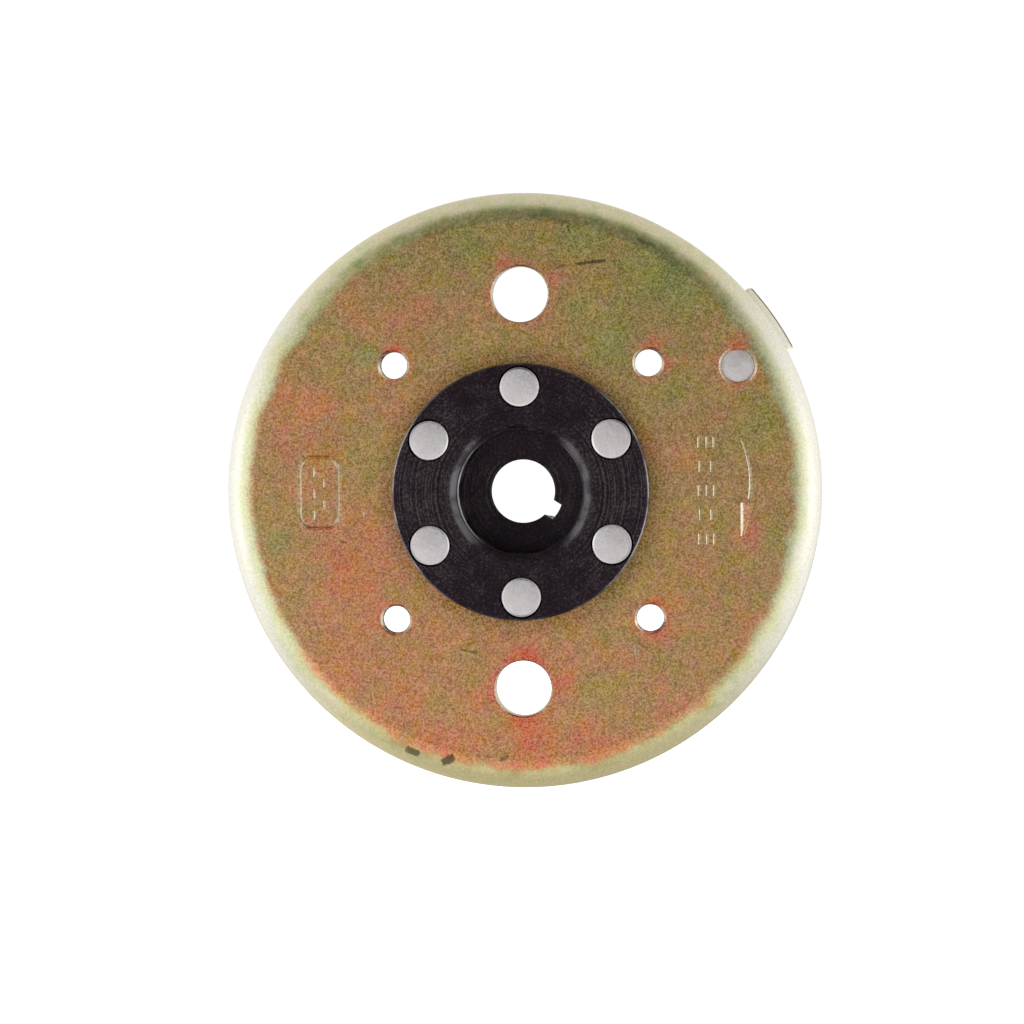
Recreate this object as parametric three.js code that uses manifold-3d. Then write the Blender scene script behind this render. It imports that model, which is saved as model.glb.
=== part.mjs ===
// Magneto flywheel (outer rotor) of a small scooter engine: a plated steel cup riveted to a
// turned hub, with a ring of ferrite magnets inside the cup's wall.
//
// Millimetres, +Z up. The spin axis is Y. The closed face looks towards -Y and the open side,
// where the engine and its stator are, towards +Y. The origin is on the spin axis at the large
// end of the crank taper, which is the hub's inner end face.
// Angles are counted from +X towards +Z, which is anticlockwise as seen on the closed face.

import * as THREE from "three";
import { mergeVertices } from "three/addons/utils/BufferGeometryUtils.js";
import Module from "manifold-3d";

const wasm = await Module();
wasm.setup();

// ---- Driving dimensions ----

// Places along the spin axis
const HUB_END_Y = 0;
const HUB_LENGTH = 32;
const FLANGE_THICKNESS = 5;
const CUP_DEPTH = 34;
const HUB_FACE_Y = HUB_END_Y - HUB_LENGTH;
const WEB_OUTER_Y = HUB_FACE_Y + FLANGE_THICKNESS;
const RIM_Y = WEB_OUTER_Y + CUP_DEPTH;

// Pressed steel cup
const CUP_RADIUS = 56;
const WALL_THICKNESS = 4.2;
const WEB_THICKNESS = 3.4;
const CORNER_RADIUS = 6;
const INNER_CORNER_RADIUS = 1.2;
const RIM_CHAMFER = 0.5;
const WALL_INNER_RADIUS = CUP_RADIUS - WALL_THICKNESS;
const WEB_INNER_Y = WEB_OUTER_Y + WEB_THICKNESS;

// Holes in the cup's web
const TOOL_HOLE_PITCH_RADIUS = 36.75;
const TOOL_HOLE_RADIUS = 5.2;
const TOOL_HOLE_CHAMFER = 0.25;
const FAN_HOLE_SPACING = 47.5;
const FAN_HOLE_RADIUS = 2.5;
const FAN_HOLE_CHAMFER = 0.5;

// Turned steel hub
const FLANGE_RADIUS = 23.75;
const FLANGE_CHAMFER = 0.5;
const BARREL_RADIUS = 14.8;
const BARREL_CHAMFER = 1;
const RECESS_DEPTH = 10.5;
const PULLER_THREAD_MINOR_RADIUS = 11.46;
const RECESS_MOUTH_RADIUS = 12.75;
const RECESS_MOUTH_DEPTH = 1.3;
const RELIEF_RADIUS = 12.3;
const RELIEF_WIDTH = 2.2;
const TAPER_SMALL_RADIUS = 5.93;
const TAPER_RADIUS_PER_LENGTH = 0.1;
const TAPER_MOUTH_CHAMFER = 0.8;
const KEYWAY_ANGLE = -32.5;
const KEYWAY_WIDTH = 3.2;
const KEYWAY_DEPTH = 1.66;

// Rivets through the hub's flange and the web
const RIVET_COUNT = 6;
const RIVET_PITCH_RADIUS = 19.45;
const RIVET_FIRST_ANGLE = 30;
const RIVET_SHANK_RADIUS = 3;
const RIVET_HEAD_RADIUS = 3.88;
const RIVET_HEAD_HEIGHT = 1.8;
const RIVET_FORMED_RADIUS = 4.2;
const RIVET_FORMED_HEIGHT = 2.2;

// Magnets, their separators and what holds them
const MAGNET_COUNT = 6;
const MAGNET_FIRST_ANGLE = 30;
const MAGNET_ARC = 53.6;
const MAGNET_INNER_RADIUS = 45.6;
const MAGNET_OUTER_RADIUS = 51.6;
const MAGNET_LENGTH = 23.4;
const SPACER_ARC = 5.6;
const SPACER_OUTER_RADIUS = 51.4;
const BACK_RING_INNER_RADIUS = 43.4;
const BACK_RING_OUTER_RADIUS = 50.4;
const BACK_RING_THICKNESS = 3.2;
const SLEEVE_INNER_RADIUS = 45;
const SLEEVE_THICKNESS = 0.4;
const SLEEVE_LIP_WIDTH = 1.8;

// Index pin, which locates the magnet ring against the keyway
const INDEX_PIN_ANGLE = 29.7;
const INDEX_PIN_PITCH_RADIUS = 46.4;
const INDEX_PIN_RADIUS = 3.06;
const INDEX_PIN_HOLE_RADIUS = 3.36;
const INDEX_PIN_HOLE_CHAMFER = 0.35;
const INDEX_PIN_RECESS = 1.1;
const INDEX_SPIGOT_RADIUS = 1.8;
const INDEX_SPIGOT_LENGTH = 2.2;

// Trigger pad on the outside of the wall, which the ignition pickup senses
const TRIGGER_ANGLE = 34.4;
const TRIGGER_ARC = 14.6;
const TRIGGER_HEIGHT = 1.5;
const TRIGGER_START_DEPTH = 9;
const TRIGGER_WIDTH = 13;

// Gaps between pieces that are pressed, riveted or glued together
const FIT_GAP = 0.3;
const RIVET_GAP = 0.2;
const GLUE_GAP = 0.2;
const WELD_GAP = 0.15;

// Where the magnets lie along the spin axis
const BACK_RING_END_Y = WEB_INNER_Y + BACK_RING_THICKNESS;
const MAGNET_START_Y = BACK_RING_END_Y + GLUE_GAP;
const MAGNET_END_Y = MAGNET_START_Y + MAGNET_LENGTH;

// How finely round surfaces are cut into flats
const LARGE_SEGMENTS = 72;
const HUB_SEGMENTS = 60;
const SMALL_SEGMENTS = 20;
const ARC_SEGMENTS = 5;

// How far a cutting tool reaches past the surface that it enters
const OVERRUN = 1;

// ---- Helpers ----

const radians = THREE.MathUtils.degToRad;

/** The point at this radius and angle on the face, in the plane y = 0. */
function polar(radius, degrees) {
  const angle = radians(degrees);
  return new THREE.Vector3(radius * Math.cos(angle), 0, radius * Math.sin(angle));
}

/** The angles of a number of equal pieces around the axis. */
function spread(count, first) {
  return Array.from({ length: count }, (_, index) => first + (360 / count) * index);
}

/** Points of a round corner from one angle to another, in the plane of a turned profile. */
function cornerArc(centreRadius, centreY, radius, fromDegrees, toDegrees, steps) {
  return Array.from({ length: steps + 1 }, (_, step) => {
    const angle = radians(fromDegrees + ((toDegrees - fromDegrees) * step) / steps);
    return [centreRadius + radius * Math.cos(angle), centreY + radius * Math.sin(angle)];
  });
}

/** A solid turned round Y. The profile is [radius, y] pairs, anticlockwise with y up. */
function turned(profile, segments) {
  const points = profile.map(([radius, y]) => new THREE.Vector2(radius, y));
  if (profile[0][0] > 0) {
    points.push(points[0].clone());
  }
  return new THREE.LatheGeometry(points, segments);
}

/** A curved block between two radii, centred on the angle 0, from lowY to highY. */
function arcBlock(innerRadius, outerRadius, arcDegrees, lowY, highY) {
  const half = radians(arcDegrees / 2);
  const outline = new THREE.Shape();
  outline.absarc(0, 0, outerRadius, -half, half, false);
  outline.absarc(0, 0, innerRadius, half, -half, true);
  outline.closePath();
  const block = new THREE.ExtrudeGeometry(outline, {
    depth: highY - lowY,
    bevelEnabled: false,
    curveSegments: ARC_SEGMENTS,
  });
  return block.rotateX(Math.PI / 2).translate(0, highY, 0);
}

/** A manifold solid of a closed geometry, moved by an offset if there is one. */
function solidOf(geometry, offset = new THREE.Vector3()) {
  const bare = geometry.clone().translate(offset.x, offset.y, offset.z);
  bare.deleteAttribute("normal");
  bare.deleteAttribute("uv");
  const merged = mergeVertices(bare, 1e-4);
  const triVerts = new Uint32Array(merged.index.array);
  const vertProperties = new Float32Array(merged.attributes.position.array);
  return new wasm.Manifold(new wasm.Mesh({ numProp: 3, vertProperties, triVerts }));
}

/** The geometry of a manifold solid. */
function geometryOf(solid) {
  const mesh = solid.getMesh();
  const geometry = new THREE.BufferGeometry();
  geometry.setAttribute("position", new THREE.BufferAttribute(mesh.vertProperties, 3));
  geometry.setIndex(new THREE.BufferAttribute(mesh.triVerts, 1));
  geometry.computeVertexNormals();
  return geometry;
}

/** A geometry with others cut out of it. */
function cut(geometry, tools) {
  const solid = tools.reduce((rest, tool) => rest.subtract(tool), solidOf(geometry));
  return geometryOf(solid);
}

/** A hole's cutting tool, with a chamfer where it enters the web's outer face. */
function webHoleTool(radius, chamfer, place) {
  const profile = [
    [0, WEB_OUTER_Y - OVERRUN],
    [radius + chamfer + OVERRUN, WEB_OUTER_Y - OVERRUN],
    [radius, WEB_OUTER_Y + chamfer],
    [radius, WEB_INNER_Y + OVERRUN],
    [0, WEB_INNER_Y + OVERRUN],
  ];
  return solidOf(turned(profile, SMALL_SEGMENTS), place);
}

// ---- Materials ----

const yellowZinc = () =>
  new THREE.MeshStandardMaterial({ color: 0xa07a4c, metalness: 0.8, roughness: 0.45 });
const blackOxide = () =>
  new THREE.MeshStandardMaterial({ color: 0x2d282b, metalness: 0.7, roughness: 0.45 });
const bareSteel = () =>
  new THREE.MeshStandardMaterial({ color: 0xb4adb4, metalness: 0.9, roughness: 0.5 });
const ferrite = () =>
  new THREE.MeshStandardMaterial({ color: 0x3a3b3d, metalness: 0.1, roughness: 0.8 });
const resin = () =>
  new THREE.MeshStandardMaterial({ color: 0x23201c, metalness: 0, roughness: 0.6 });
const stainless = () =>
  new THREE.MeshStandardMaterial({ color: 0xb9b9b6, metalness: 1, roughness: 0.3 });

// ---- Pieces ----

const flywheel = new THREE.Group();
flywheel.name = "flywheel";

/** Adds a named piece, turned about the spin axis by an angle on the face. */
function addPiece(name, geometry, material, degrees = 0, place = new THREE.Vector3()) {
  const mesh = new THREE.Mesh(geometry, material);
  mesh.name = name;
  mesh.rotation.y = -radians(degrees);
  mesh.position.copy(place);
  flywheel.add(mesh);
}

/** The cup: a flat web, a rounded corner and a straight wall, pressed from one sheet. */
function rotorCup() {
  const cornerY = WEB_OUTER_Y + CORNER_RADIUS;
  const innerCornerY = WEB_INNER_Y + INNER_CORNER_RADIUS;
  const holeRadius = BARREL_RADIUS + FIT_GAP;
  const profile = [
    [holeRadius, WEB_OUTER_Y],
    ...cornerArc(CUP_RADIUS - CORNER_RADIUS, cornerY, CORNER_RADIUS, -90, 0, 5),
    [CUP_RADIUS, RIM_Y - RIM_CHAMFER],
    [CUP_RADIUS - RIM_CHAMFER, RIM_Y],
    [WALL_INNER_RADIUS + RIM_CHAMFER, RIM_Y],
    [WALL_INNER_RADIUS, RIM_Y - RIM_CHAMFER],
    ...cornerArc(
      WALL_INNER_RADIUS - INNER_CORNER_RADIUS, innerCornerY, INNER_CORNER_RADIUS, 0, -90, 2),
    [holeRadius, WEB_INNER_Y],
  ];
  const half = FAN_HOLE_SPACING / 2;
  const fanHoles = [[half, half], [-half, half], [-half, -half], [half, -half]];
  const shankHole = RIVET_SHANK_RADIUS + RIVET_GAP;
  const tools = [
    ...[90, 270].map((angle) =>
      webHoleTool(TOOL_HOLE_RADIUS, TOOL_HOLE_CHAMFER, polar(TOOL_HOLE_PITCH_RADIUS, angle))),
    ...fanHoles.map(([x, z]) =>
      webHoleTool(FAN_HOLE_RADIUS, FAN_HOLE_CHAMFER, new THREE.Vector3(x, 0, z))),
    ...spread(RIVET_COUNT, RIVET_FIRST_ANGLE).map((angle) =>
      webHoleTool(shankHole, 0, polar(RIVET_PITCH_RADIUS, angle))),
    webHoleTool(
      INDEX_PIN_HOLE_RADIUS,
      INDEX_PIN_HOLE_CHAMFER,
      polar(INDEX_PIN_PITCH_RADIUS, INDEX_PIN_ANGLE),
    ),
  ];
  return cut(turned(profile, LARGE_SEGMENTS), tools);
}

/** The radius of the crank taper at a depth y. */
function taperRadius(y) {
  const smallEndY = HUB_FACE_Y + RECESS_DEPTH;
  return TAPER_SMALL_RADIUS + (y - smallEndY) * TAPER_RADIUS_PER_LENGTH;
}

/** The keyway's cutting tool: a bar whose outer face follows the taper's slope. */
function keywayTool() {
  const lowY = HUB_FACE_Y + RECESS_DEPTH - RELIEF_WIDTH / 2;
  const highY = HUB_END_Y + OVERRUN;
  const slope = new THREE.Shape();
  slope.moveTo(0, lowY);
  slope.lineTo(taperRadius(lowY) + KEYWAY_DEPTH, lowY);
  slope.lineTo(taperRadius(highY) + KEYWAY_DEPTH, highY);
  slope.lineTo(0, highY);
  slope.closePath();
  const bar = new THREE.ExtrudeGeometry(slope, { depth: KEYWAY_WIDTH, bevelEnabled: false });
  bar.translate(0, 0, -KEYWAY_WIDTH / 2).rotateY(-radians(KEYWAY_ANGLE));
  return solidOf(bar);
}

/** The hub: a flange on the web's outer face and a barrel with the crank taper inside it. */
function hub() {
  const floorY = HUB_FACE_Y + RECESS_DEPTH;
  const profile = [
    [RECESS_MOUTH_RADIUS, HUB_FACE_Y],
    [FLANGE_RADIUS - FLANGE_CHAMFER, HUB_FACE_Y],
    [FLANGE_RADIUS, HUB_FACE_Y + FLANGE_CHAMFER],
    [FLANGE_RADIUS, WEB_OUTER_Y],
    [BARREL_RADIUS, WEB_OUTER_Y],
    [BARREL_RADIUS, HUB_END_Y - BARREL_CHAMFER],
    [BARREL_RADIUS - BARREL_CHAMFER, HUB_END_Y],
    [taperRadius(HUB_END_Y) + TAPER_MOUTH_CHAMFER, HUB_END_Y],
    [taperRadius(HUB_END_Y - TAPER_MOUTH_CHAMFER), HUB_END_Y - TAPER_MOUTH_CHAMFER],
    [TAPER_SMALL_RADIUS, floorY],
    [RELIEF_RADIUS, floorY],
    [RELIEF_RADIUS, floorY - RELIEF_WIDTH],
    [PULLER_THREAD_MINOR_RADIUS, floorY - RELIEF_WIDTH],
    [PULLER_THREAD_MINOR_RADIUS, HUB_FACE_Y + RECESS_MOUTH_DEPTH],
  ];
  const headFloorY = HUB_FACE_Y + RIVET_HEAD_HEIGHT;
  const rivetHole = turned([
    [0, HUB_FACE_Y - OVERRUN],
    [RIVET_HEAD_RADIUS + RIVET_GAP, HUB_FACE_Y - OVERRUN],
    [RIVET_HEAD_RADIUS + RIVET_GAP, headFloorY],
    [RIVET_SHANK_RADIUS + RIVET_GAP, headFloorY],
    [RIVET_SHANK_RADIUS + RIVET_GAP, WEB_OUTER_Y + OVERRUN],
    [0, WEB_OUTER_Y + OVERRUN],
  ], SMALL_SEGMENTS);
  const rivetHoles = spread(RIVET_COUNT, RIVET_FIRST_ANGLE).map((angle) =>
    solidOf(rivetHole, polar(RIVET_PITCH_RADIUS, angle)));
  return cut(turned(profile, HUB_SEGMENTS), [...rivetHoles, keywayTool()]);
}

/** A rivet: a flat head flush with the hub's face, a shank and a domed head formed inside. */
function rivet() {
  const edgeHeight = RIVET_FORMED_HEIGHT * 0.45;
  const crownRadius = RIVET_FORMED_RADIUS * 0.55;
  return turned([
    [0, HUB_FACE_Y],
    [RIVET_HEAD_RADIUS, HUB_FACE_Y],
    [RIVET_HEAD_RADIUS, HUB_FACE_Y + RIVET_HEAD_HEIGHT],
    [RIVET_SHANK_RADIUS, HUB_FACE_Y + RIVET_HEAD_HEIGHT],
    [RIVET_SHANK_RADIUS, WEB_INNER_Y],
    [RIVET_FORMED_RADIUS, WEB_INNER_Y],
    [RIVET_FORMED_RADIUS, WEB_INNER_Y + edgeHeight],
    [crownRadius, WEB_INNER_Y + RIVET_FORMED_HEIGHT],
    [0, WEB_INNER_Y + RIVET_FORMED_HEIGHT],
  ], SMALL_SEGMENTS);
}

/** The moulded ring between the web and the magnets, with a blind hole for the index pin. */
function backSpacerRing() {
  const ring = turned([
    [BACK_RING_INNER_RADIUS, WEB_INNER_Y],
    [BACK_RING_OUTER_RADIUS, WEB_INNER_Y],
    [BACK_RING_OUTER_RADIUS, BACK_RING_END_Y],
    [BACK_RING_INNER_RADIUS, BACK_RING_END_Y],
  ], LARGE_SEGMENTS);
  const holeRadius = INDEX_SPIGOT_RADIUS + RIVET_GAP;
  const spigotHole = turned([
    [0, WEB_INNER_Y - OVERRUN],
    [holeRadius, WEB_INNER_Y - OVERRUN],
    [holeRadius, WEB_INNER_Y + INDEX_SPIGOT_LENGTH + FIT_GAP],
    [0, WEB_INNER_Y + INDEX_SPIGOT_LENGTH + FIT_GAP],
  ], SMALL_SEGMENTS);
  return cut(ring, [solidOf(spigotHole, polar(INDEX_PIN_PITCH_RADIUS, INDEX_PIN_ANGLE))]);
}

/** The thin sleeve over the magnets' inner faces, with a lip turned out over their ends. */
function magnetRetainer() {
  const lipY = MAGNET_END_Y + GLUE_GAP;
  return turned([
    [SLEEVE_INNER_RADIUS, MAGNET_START_Y],
    [SLEEVE_INNER_RADIUS + SLEEVE_THICKNESS, MAGNET_START_Y],
    [SLEEVE_INNER_RADIUS + SLEEVE_THICKNESS, lipY],
    [SLEEVE_INNER_RADIUS + SLEEVE_LIP_WIDTH, lipY],
    [SLEEVE_INNER_RADIUS + SLEEVE_LIP_WIDTH, lipY + SLEEVE_THICKNESS],
    [SLEEVE_INNER_RADIUS, lipY + SLEEVE_THICKNESS],
  ], LARGE_SEGMENTS);
}

/** The stepped pin that shows in the web, a little below its outer face. */
function indexPin() {
  return turned([
    [0, WEB_OUTER_Y + INDEX_PIN_RECESS],
    [INDEX_PIN_RADIUS, WEB_OUTER_Y + INDEX_PIN_RECESS],
    [INDEX_PIN_RADIUS, WEB_INNER_Y],
    [INDEX_SPIGOT_RADIUS, WEB_INNER_Y],
    [INDEX_SPIGOT_RADIUS, WEB_INNER_Y + INDEX_SPIGOT_LENGTH],
    [0, WEB_INNER_Y + INDEX_SPIGOT_LENGTH],
  ], SMALL_SEGMENTS);
}

/** The raised pad on the wall, with square ends. */
function triggerPad() {
  const lowY = WEB_OUTER_Y + TRIGGER_START_DEPTH;
  return arcBlock(
    CUP_RADIUS + WELD_GAP,
    CUP_RADIUS + TRIGGER_HEIGHT,
    TRIGGER_ARC,
    lowY,
    lowY + TRIGGER_WIDTH,
  );
}

addPiece("rotor_cup", rotorCup(), yellowZinc());
addPiece("hub", hub(), blackOxide());
spread(RIVET_COUNT, RIVET_FIRST_ANGLE).forEach((angle, index) => {
  const place = polar(RIVET_PITCH_RADIUS, angle);
  addPiece(`hub_rivet_${index + 1}`, rivet(), bareSteel(), 0, place);
});
spread(MAGNET_COUNT, MAGNET_FIRST_ANGLE).forEach((angle, index) => {
  const magnet = arcBlock(
    MAGNET_INNER_RADIUS, MAGNET_OUTER_RADIUS, MAGNET_ARC, MAGNET_START_Y, MAGNET_END_Y);
  addPiece(`magnet_${index + 1}`, magnet, ferrite(), angle);
});
spread(MAGNET_COUNT, MAGNET_FIRST_ANGLE + 180 / MAGNET_COUNT).forEach((angle, index) => {
  const spacer = arcBlock(
    MAGNET_INNER_RADIUS, SPACER_OUTER_RADIUS, SPACER_ARC, MAGNET_START_Y, MAGNET_END_Y);
  addPiece(`magnet_spacer_${index + 1}`, spacer, resin(), angle);
});
addPiece("back_spacer_ring", backSpacerRing(), resin());
addPiece("magnet_retainer", magnetRetainer(), stainless());
addPiece("index_pin", indexPin(), bareSteel(), 0, polar(INDEX_PIN_PITCH_RADIUS, INDEX_PIN_ANGLE));
addPiece("trigger_pad", triggerPad(), yellowZinc(), TRIGGER_ANGLE);

export default flywheel;
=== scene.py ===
"""Looks of a scooter engine's magneto flywheel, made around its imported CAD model.

The frame is in metres, with the spin axis along Y: the closed face looks towards -Y and the open
side towards +Y. Lengths named here are millimetres and angles are degrees, counted from +X towards
+Z, which is anticlockwise as seen on the closed face. Each piece replaces the CAD node it stands for.
"""

import math

import bmesh
import bpy
from mathutils import Matrix, Vector


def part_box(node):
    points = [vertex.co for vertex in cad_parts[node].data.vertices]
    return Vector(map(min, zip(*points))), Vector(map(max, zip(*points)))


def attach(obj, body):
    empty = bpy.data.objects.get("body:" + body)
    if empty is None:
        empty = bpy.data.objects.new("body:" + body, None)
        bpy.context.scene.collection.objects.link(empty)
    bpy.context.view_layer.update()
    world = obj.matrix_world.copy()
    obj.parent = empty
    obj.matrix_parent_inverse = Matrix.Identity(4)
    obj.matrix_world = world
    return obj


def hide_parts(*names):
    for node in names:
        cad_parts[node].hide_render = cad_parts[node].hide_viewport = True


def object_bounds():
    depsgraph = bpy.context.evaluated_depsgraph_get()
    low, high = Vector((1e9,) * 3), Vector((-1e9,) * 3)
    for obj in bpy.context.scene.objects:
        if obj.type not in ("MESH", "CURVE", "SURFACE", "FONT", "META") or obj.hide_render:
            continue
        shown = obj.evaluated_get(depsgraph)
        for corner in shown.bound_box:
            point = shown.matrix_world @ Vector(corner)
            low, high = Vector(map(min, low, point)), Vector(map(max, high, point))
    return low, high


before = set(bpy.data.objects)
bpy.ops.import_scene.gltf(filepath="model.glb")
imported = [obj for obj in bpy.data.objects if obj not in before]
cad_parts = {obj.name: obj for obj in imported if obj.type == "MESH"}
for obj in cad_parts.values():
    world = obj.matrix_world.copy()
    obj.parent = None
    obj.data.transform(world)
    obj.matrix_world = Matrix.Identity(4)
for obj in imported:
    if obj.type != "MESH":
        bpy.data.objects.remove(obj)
cad_low, cad_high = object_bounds()

MM = 0.001


# ---- Sizes read from the frame ----

def heights(node):
    """The lowest and highest place of a CAD node along the spin axis."""
    low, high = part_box(node)
    return low.y / MM, high.y / MM


def radii(node):
    """The smallest and largest radius of a CAD node's corners round the spin axis."""
    corners = [math.hypot(v.co.x, v.co.z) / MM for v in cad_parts[node].data.vertices]
    return min(corners), max(corners)


def middle(node):
    """The place of a CAD node's middle on the face."""
    low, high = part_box(node)
    centre = (low + high) / (2 * MM)
    return centre.x, centre.z


def arc_of(node):
    """The middle angle of a curved CAD block, and how many degrees it spans."""
    x, z = middle(node)
    centre = math.atan2(z, x)
    offsets = []
    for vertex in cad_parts[node].data.vertices:
        turn = math.atan2(vertex.co.z, vertex.co.x) - centre
        offsets.append((turn + math.pi) % math.tau - math.pi)
    arc_centre = centre + (min(offsets) + max(offsets)) / 2
    return math.degrees(arc_centre), math.degrees(max(offsets) - min(offsets))


WEB_OUTER_Y, RIM_Y = heights("rotor_cup")
CUP_RADIUS = radii("rotor_cup")[1]
HUB_FACE_Y, HUB_END_Y = heights("hub")
FLANGE_RADIUS = radii("hub")[1]
WEB_INNER_Y = heights("back_spacer_ring")[0]
PAD_FRONT_Y = heights("trigger_pad")[0]


# ---- Sizes that the frame doesn't name ----

# Pressed cup
WALL_THICKNESS = 4.2
CORNER_RADIUS = 6.0
INNER_CORNER_RADIUS = 1.2
RIM_CHAMFER = 0.5
WALL_INNER_RADIUS = CUP_RADIUS - WALL_THICKNESS

# Holes in the web
TOOL_HOLE_PITCH_RADIUS = 36.75
TOOL_HOLE_RADIUS = 5.2
TOOL_HOLE_CHAMFER = 0.25
FAN_HOLE_SPACING = 47.5
FAN_HOLE_RADIUS = 2.5
FAN_HOLE_CHAMFER = 0.5
FAN_THREAD_PITCH = 1.0
FAN_THREAD_DEPTH = 0.5

# Turned hub
BARREL_RADIUS = 14.8
BARREL_CHAMFER = 1.0
RECESS_DEPTH = 10.5
PULLER_THREAD_MINOR_RADIUS = 11.46
PULLER_THREAD_PITCH = 1.0
PULLER_THREAD_DEPTH = 0.54
PULLER_THREAD_RUN_OUT = 0.4
RECESS_MOUTH_RADIUS = 12.75
RECESS_MOUTH_DEPTH = 1.3
RELIEF_RADIUS = 12.3
RELIEF_WIDTH = 2.2
TAPER_SMALL_RADIUS = 5.93
TAPER_RADIUS_PER_LENGTH = 0.1
TAPER_MOUTH_CHAMFER = 0.8
KEYWAY_ANGLE = -32.5
KEYWAY_WIDTH = 3.2
KEYWAY_DEPTH = 1.66

# Magnets
MAGNET_COUNT = 6

# Rivets and index pin
RIVET_COUNT = 6
RIVET_SHANK_RADIUS = 3.0
RIVET_HEAD_HEIGHT = 1.8
RIVET_HEAD_RADIUS = 3.88
RIVET_HEAD_GAP = 0.04
RIVET_SHANK_GAP = 0.02
RIVET_HOLE_CHAMFER = 0.1
PIN_HOLE_RADIUS = 3.1
PIN_HOLE_CHAMFER = 0.5

# Stamped marks on the closed face
GROOVE_WIDTH = 0.75
GROOVE_DEPTH = 0.32
ARROW_START = (40.75, 9.3)
ARROW_END = (42.2, -1.8)
ARROW_BULGE = 0.85
ARROW_LEAN = -0.4
ARROW_START_SHARE = 0.35
ARROW_HEAD_TIP = (40.6, -8.6)
ARROW_HEAD_WIDTH = 2.9
ARROW_HEAD_LENGTH = 6.3
STROKE_WIDTH = 0.45
STROKE_DEPTH = 0.19
STROKE_ROWS = 5
BATCH_TOP = (34.3, 8.9)
BATCH_ROW_PITCH = 4.5
BATCH_STROKES = ((-1.4, 0.1, 1.4), (-1.2, 0.9))
BATCH_STROKE_LENGTH = 2.0
PLATE_CENTRE = (-37.9, 0.1)
PLATE_WIDTH = 7.4
PLATE_HEIGHT = 13.0
PLATE_CORNER = 2.4
PLATE_GROOVE_WIDTH = 0.8
PLATE_GROOVE_DEPTH = 0.42
PLATE_LEAN = 0.5
PLATE_FIRST_STROKE_Z = 3.9
PLATE_ROW_PITCH = 2.0
PLATE_STROKE_OFFSET = 0.9
PLATE_STROKE_LENGTH = 1.7

# Thicker and thinner film on the face: x, z, how far it reaches and how much it changes
FILM_PATCHES = (
    (0.5, -49.5, 9.0, 0.34),
    (1.5, -44.5, 6.0, 0.32),
    (-1.0, -43.0, 3.0, 0.20),
    (13.0, -47.5, 8.0, 0.24),
    (-13.0, -47.5, 8.0, 0.12),
    (0.5, -30.8, 4.5, 0.40),
    (7.5, -35.5, 5.0, 0.32),
    (-7.0, -37.5, 4.5, 0.24),
    (-1.5, 43.6, 5.0, 0.42),
    (-3.0, 42.2, 2.5, 0.34),
    (7.0, 40.0, 3.5, 0.20),
    (41.0, 27.2, 4.5, 0.42),
    (44.0, 21.5, 3.5, 0.26),
    (37.0, 24.0, 4.0, 0.16),
    (24.5, 27.0, 3.6, 0.40),
    (27.0, 23.5, 2.6, 0.24),
    (24.5, -21.0, 2.6, 0.26),
    (26.5, -27.0, 4.5, 0.22),
    (-23.5, 26.4, 2.6, 0.36),
    (-28.5, 25.5, 4.0, -0.38),
    (-27.0, -21.5, 3.0, 0.20),
    (-31.0, -14.0, 12.0, 0.14),
    (-40.0, 12.0, 13.0, 0.14),
    (-46.0, -9.0, 5.0, -0.34),
    (-44.0, 18.0, 6.0, 0.10),
    (-20.0, 36.0, 9.0, 0.16),
    (-11.0, 46.5, 6.0, -0.20),
    (27.0, 40.0, 11.0, -0.24),
    (12.0, 47.0, 7.0, -0.20),
    (16.0, 27.5, 5.0, -0.18),
    (44.0, 10.0, 8.0, -0.16),
    (37.0, 13.5, 2.0, 0.16),
    (42.0, -8.0, 5.0, 0.26),
    (14.0, -38.0, 7.0, -0.16),
    (-14.0, -42.0, 7.0, -0.12),
)

# Smudges on the face, and scratches with a darkness below zero: start, end, width and darkness
FACE_MARKS = (
    ((-21.6, -48.3), (-20.4, -48.8), 1.3, 0.75),
    ((-14.8, -50.3), (-13.8, -49.9), 1.6, 0.80),
    ((-4.2, -50.0), (-3.4, -49.6), 0.8, 0.45),
    ((10.9, 42.2), (15.9, 42.8), 0.5, 0.70),
    ((6.8, 41.5), (8.2, 41.9), 0.5, 0.45),
    ((21.6, -28.4), (23.0, -29.3), 0.45, 0.40),
    ((-34.0, -8.9), (-33.4, -9.1), 0.4, 0.40),
    ((9.0, 49.2), (9.2, 48.4), 0.35, 0.55),
    ((-11.6, -29.4), (-8.8, -30.1), 0.4, 0.55),
    ((20.7, -28.9), (20.9, -30.5), 0.3, -0.55),
    ((22.0, 46.6), (25.0, 45.4), 0.7, 0.35),
    ((-10.5, 37.4), (-10.4, 37.0), 0.3, -0.60),
    ((-29.6, -3.6), (-29.6, -4.4), 0.3, -0.60),
)

# How far a cutting tool reaches past the surface that it enters
OVERRUN = 1.0

# How finely round surfaces are cut
CUP_SEGMENTS = 288
HUB_SEGMENTS = 216
SMALL_SEGMENTS = 64
ARC_STEPS = 40
THREAD_STEPS_PER_PITCH = 10
SHARP_ANGLE = 32


# ---- Mesh helpers ----

def polar(radius, degrees, y=0.0):
    """The point at this radius and angle, at this place along the spin axis."""
    angle = math.radians(degrees)
    return Vector((radius * math.cos(angle), y, radius * math.sin(angle)))


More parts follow.
